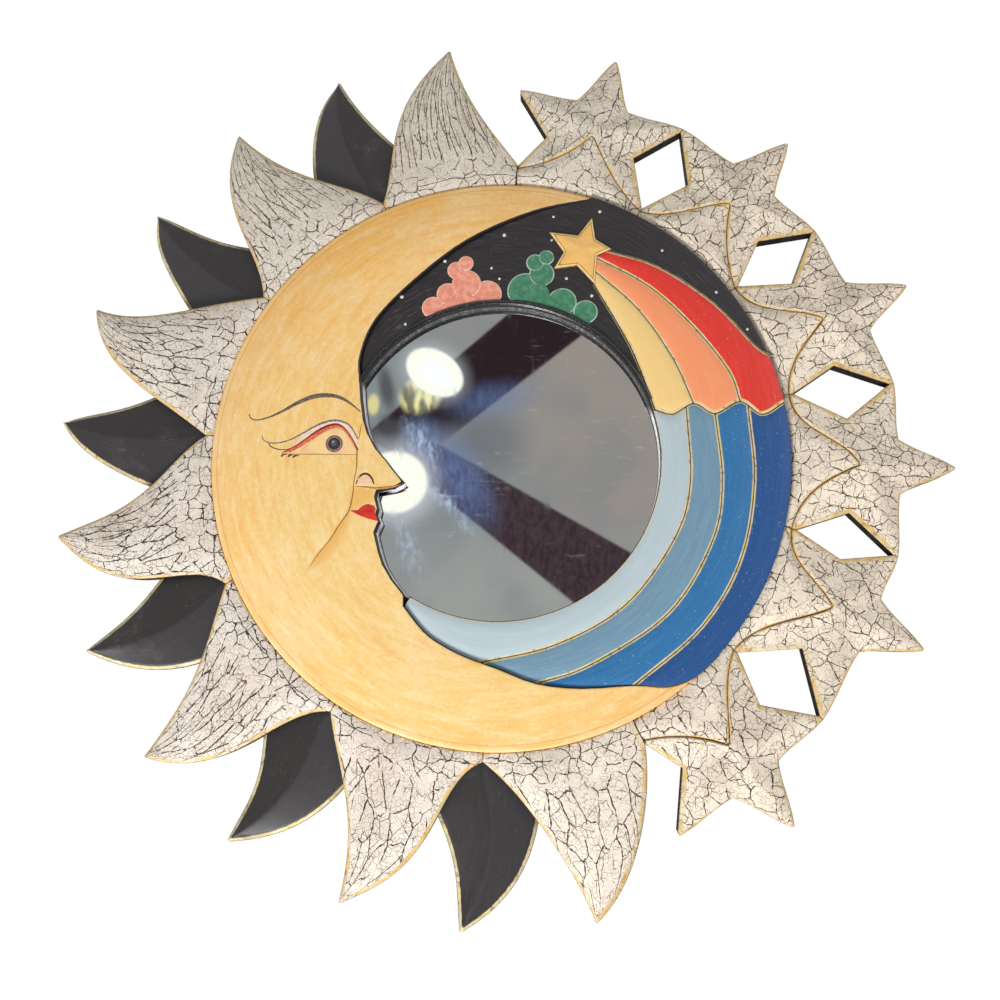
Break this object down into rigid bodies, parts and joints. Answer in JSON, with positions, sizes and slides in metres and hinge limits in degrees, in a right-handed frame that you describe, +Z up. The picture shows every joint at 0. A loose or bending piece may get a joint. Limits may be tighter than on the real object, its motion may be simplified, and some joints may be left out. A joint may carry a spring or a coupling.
{
  "type": "painted wooden wall mirror",
  "caption": "Round wall mirror in a painted wooden frame: a crescent moon face with a rainbow, ringed by flame-shaped sun rays and faceted stars, with a ring hanger.",
  "frame": {"origin": "centre of the moon disc, on the wall plane at the back of the plywood panel", "axes": "+Z up, +X to the right of someone facing the mirror, +Y into the wall; the mirror faces -Y"},
  "size_m": [0.6111, 0.023, 0.6103],
  "materials": {
    "painted_disc": "hand painted, satin",
    "mirror_glass": "silvered",
    "plywood": "bare plywood",
    "crackle_paint": "crackled cream paint with gold edges",
    "black_paint": "black satin paint with gold edges",
    "screw_steel": "plated",
    "hanger_steel": "brass plated"
  },
  "bodies": {
    "frame": {"moon_disc": "painted_disc", "mirror_glass": "mirror_glass", "backing_board": "plywood", "back_panel": "plywood", "panel_screws": "screw_steel", "sun_ray_1": "crackle_paint", "sun_ray_2": "crackle_paint", "sun_ray_3": "crackle_paint", "sun_ray_4": "crackle_paint", "sun_ray_5": "crackle_paint", "sun_ray_6": "crackle_paint", "sun_ray_7": "crackle_paint", "dark_ray_1": "black_paint", "dark_ray_2": "black_paint", "dark_ray_3": "black_paint", "dark_ray_4": "black_paint", "dark_ray_5": "black_paint", "dark_ray_6": "black_paint", "short_ray_1": "crackle_paint", "short_ray_2": "crackle_paint", "short_ray_3": "crackle_paint", "short_ray_4": "crackle_paint", "short_ray_5": "crackle_paint", "short_ray_6": "crackle_paint", "star_1": "crackle_paint", "star_2": "crackle_paint", "star_3": "crackle_paint", "star_4": "crackle_paint", "star_5": "crackle_paint", "star_6": "crackle_paint", "hanger_strap": "hanger_steel", "hanger_screw": "screw_steel"},
    "ring": {"hanger_ring": "hanger_steel"}
  },
  "joints": [
    {"name": "ring_swing", "type": "hinge", "parent": "frame", "child": "ring", "pos_m": [0, -0.00205, 0.165], "axis": [1, 0, 0], "range_deg": [0, 180]}
  ]
}
